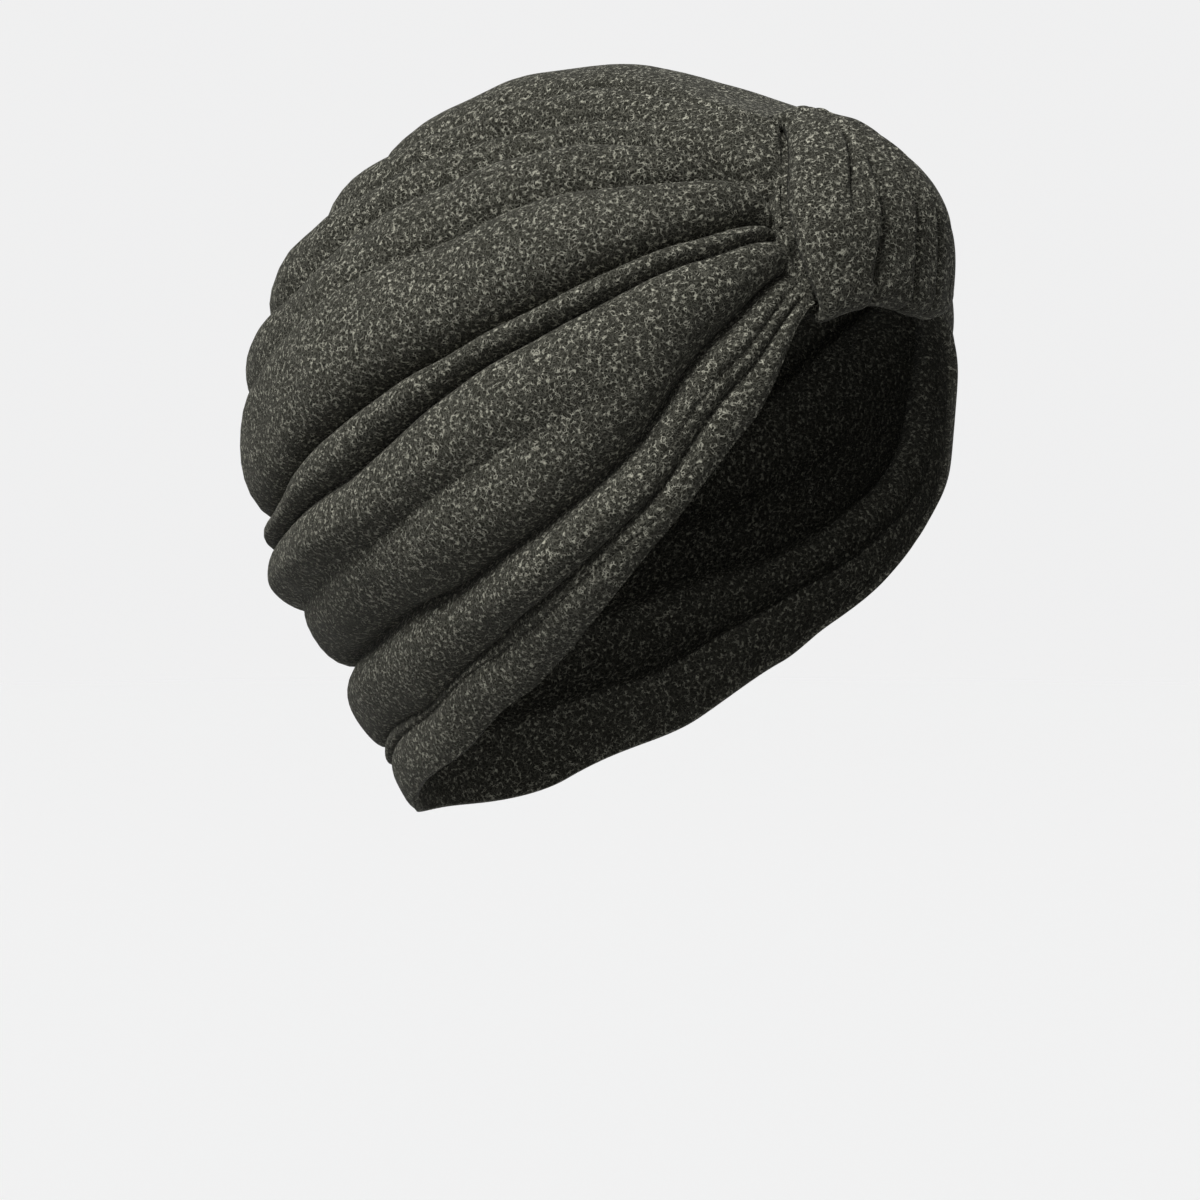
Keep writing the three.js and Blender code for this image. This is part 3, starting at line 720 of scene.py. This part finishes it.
def mix_colour(tree, share, a, b):
    made = node(tree, "ShaderNodeMix", data_type="RGBA")
    tree.links.new(share, made.inputs[0])
    for socket, value in ((made.inputs[6], a), (made.inputs[7], b)):
        if isinstance(value, tuple):
            socket.default_value = (*value, 1)
        else:
            tree.links.new(value, socket)
    return made.outputs[2]


def jersey(name, dark, mid, light):
    material = bpy.data.materials.new(name)
    material.use_nodes = True
    tree = material.node_tree
    shader = tree.nodes["Principled BSDF"]
    place = node(tree, "ShaderNodeTexCoord").outputs["Object"]
    mm = node(tree, "ShaderNodeVectorMath", operation="SCALE")
    tree.links.new(place, mm.inputs[0])
    mm.inputs["Scale"].default_value = 1000.0
    mm = mm.outputs[0]
    # a slow warp makes the lines curl
    warp = noise(tree, mm, 0.6, 0.0)
    centred = node(tree, "ShaderNodeVectorMath", operation="SUBTRACT")
    tree.links.new(warp.outputs["Color"], centred.inputs[0])
    centred.inputs[1].default_value = (0.5, 0.5, 0.5)
    bent = node(tree, "ShaderNodeVectorMath", operation="MULTIPLY_ADD")
    tree.links.new(centred.outputs[0], bent.inputs[0])
    bent.inputs[1].default_value = (1.7, 1.7, 1.7)
    tree.links.new(mm, bent.inputs[2])
    bent = bent.outputs[0]
    first, first_shadow = curls(tree, bent, 0.85, 0.075, 0.28)
    second, second_shadow = curls(tree, shifted(tree, bent, (31.7, 12.9, 47.1)), 1.0, 0.06, 0.23)
    # the curls come and go along their length
    broken = ramp(tree, noise(tree, shifted(tree, mm, (9.1, 83.0, 5.2)), 0.8, 0.0).outputs["Fac"], 0.34, 0.46, 0.3, 1.0)
    broken_too = ramp(tree, noise(tree, shifted(tree, mm, (71.0, 3.3, 25.4)), 0.9, 0.0).outputs["Fac"], 0.42, 0.54, 0.25, 1.0)
    first, second = math_node(tree, "MULTIPLY", first, broken), math_node(tree, "MULTIPLY", second, broken_too)
    flecks = math_node(tree, "MAXIMUM", first, second)
    # the painted shadow beside the curls, broken where the curls are broken
    curl_shadow = math_node(tree, "MAXIMUM", math_node(tree, "MULTIPLY", first_shadow, broken),
                       math_node(tree, "MULTIPLY", second_shadow, broken_too))
    # some flecks are much lighter yarn
    bright = ramp(tree, noise(tree, shifted(tree, mm, (4.4, 40.2, 66.6)), 0.8, 0.0).outputs["Fac"], 0.52, 0.64)
    # heathered ground: fibres of two tones, and slow patches
    fibre = noise(tree, mm, 3.2, 2.0, 0.6).outputs["Fac"]
    patch = noise(tree, mm, 0.045, 2.0, 0.5).outputs["Fac"]
    ground = mix_colour(tree, ramp(tree, fibre, 0.3, 0.7), dark, mid)
    tinted = mix_colour(tree, ramp(tree, patch, 0.3, 0.7, 0.0, 0.35), ground, mid)
    # painted shadow: the ground next to each curl is darkened toward half the dark tone
    tinted = mix_colour(tree, math_node(tree, "MULTIPLY", curl_shadow, 0.85), tinted, tuple(0.5 * d for d in dark))
    fleck_colour = mix_colour(tree, bright, tuple(0.22 * l + 0.78 * m for l, m in zip(light, mid)), light)
    colour = mix_colour(tree, math_node(tree, "MULTIPLY", flecks, 0.95), tinted, fleck_colour)
    tree.links.new(colour, shader.inputs["Base Color"])
    # relief: the curls stand up from the ground, with fine fibres over all
    relief = math_node(tree, "ADD", math_node(tree, "MULTIPLY", flecks, 0.6), math_node(tree, "MULTIPLY", fibre, 0.5))
    bump = node(tree, "ShaderNodeBump")
    bump.inputs["Strength"].default_value = 0.9
    bump.inputs["Distance"].default_value = 0.00035
    tree.links.new(relief, bump.inputs["Height"])
    tree.links.new(bump.outputs[0], shader.inputs["Normal"])
    tree.links.new(ramp(tree, fibre, 0.2, 0.8, 0.86, 0.98), shader.inputs["Roughness"])
    shader.inputs["Specular IOR Level"].default_value = 0.25
    shader.inputs["Sheen Weight"].default_value = 0.05
    shader.inputs["Sheen Roughness"].default_value = 0.3
    shader.inputs["Sheen Tint"].default_value = (0.8, 0.8, 0.72, 1)
    return material


cap.data.materials.append(jersey("jersey_cap", (0.006, 0.0058, 0.0038), (0.034, 0.033, 0.023), (0.55, 0.54, 0.44)))
band.data.materials.append(jersey("jersey_band", (0.006, 0.0058, 0.0038), (0.034, 0.033, 0.023), (0.55, 0.54, 0.44)))

# ------------------------------------------------------------------- studio
FLOOR_Z = -0.50
floor_mesh = bpy.data.meshes.new("floor")
ring = [(math.cos(2 * math.pi * k / 96), math.sin(2 * math.pi * k / 96)) for k in range(96)]
floor_mesh.from_pydata([(0, 0, FLOOR_Z)] + [(4.5 * x, 4.5 * y, FLOOR_Z) for x, y in ring], [],
                       [(0, 1 + k, 1 + (k + 1) % 96) for k in range(96)])
floor = bpy.data.objects.new("floor", floor_mesh)
bpy.context.scene.collection.objects.link(floor)
paper = bpy.data.materials.new("studio_paper")
paper.use_nodes = True
tree = paper.node_tree
shader = tree.nodes["Principled BSDF"]
shader.inputs["Base Color"].default_value = (0.92, 0.92, 0.92, 1)
shader.inputs["Roughness"].default_value = 1.0
shader.inputs["Specular IOR Level"].default_value = 0.0
place = node(tree, "ShaderNodeTexCoord").outputs["Object"]
span = node(tree, "ShaderNodeVectorMath", operation="LENGTH")
tree.links.new(shifted(tree, place, (0.0, 0.0, -FLOOR_Z)), span.inputs[0])
tree.links.new(ramp(tree, span.outputs["Value"], 1.2, 4.2, 1.0, 0.0), shader.inputs["Alpha"])
floor.data.materials.append(paper)
floor.visible_diffuse = False

world = bpy.data.worlds.new("studio")
world.use_nodes = True
bpy.context.scene.world = world
tree = world.node_tree
backdrop = tree.nodes["Background"]
backdrop.inputs["Color"].default_value = (0.868, 0.868, 0.871, 1)
backdrop.inputs["Strength"].default_value = 1.0
ambient = node(tree, "ShaderNodeBackground")
ambient.inputs["Color"].default_value = (0.98, 0.99, 1.0, 1)
ambient.inputs["Strength"].default_value = 0.16
seen = node(tree, "ShaderNodeLightPath").outputs["Is Camera Ray"]
both = node(tree, "ShaderNodeMixShader")
tree.links.new(seen, both.inputs[0])
tree.links.new(ambient.outputs[0], both.inputs[1])
tree.links.new(backdrop.outputs[0], both.inputs[2])
tree.links.new(both.outputs[0], tree.nodes["World Output"].inputs["Surface"])
bpy.context.scene.view_settings.view_transform = "Standard"
bpy.context.scene.view_settings.look = "None"


def sun(name, toward, angle, strength, colour=(1, 1, 1)):
    data = bpy.data.lights.new(name, "SUN")
    data.angle = math.radians(angle)
    data.energy = strength
    data.color = colour
    made = bpy.data.objects.new(name, data)
    made.location = Vector(toward).normalized() * 2
    made.rotation_euler = (-Vector(toward)).to_track_quat("-Z", "Y").to_euler()
    bpy.context.scene.collection.objects.link(made)


# a wide soft key from above on the camera's left, a weak fill in front and
# another from the far side
sun("key", (-0.667, 0.094, 0.84), 34, 2.8)
sun("fill", (-0.5, -0.75, 0.25), 60, 0.28)
sun("rim", (0.85, 0.3, 0.35), 60, 0.7)
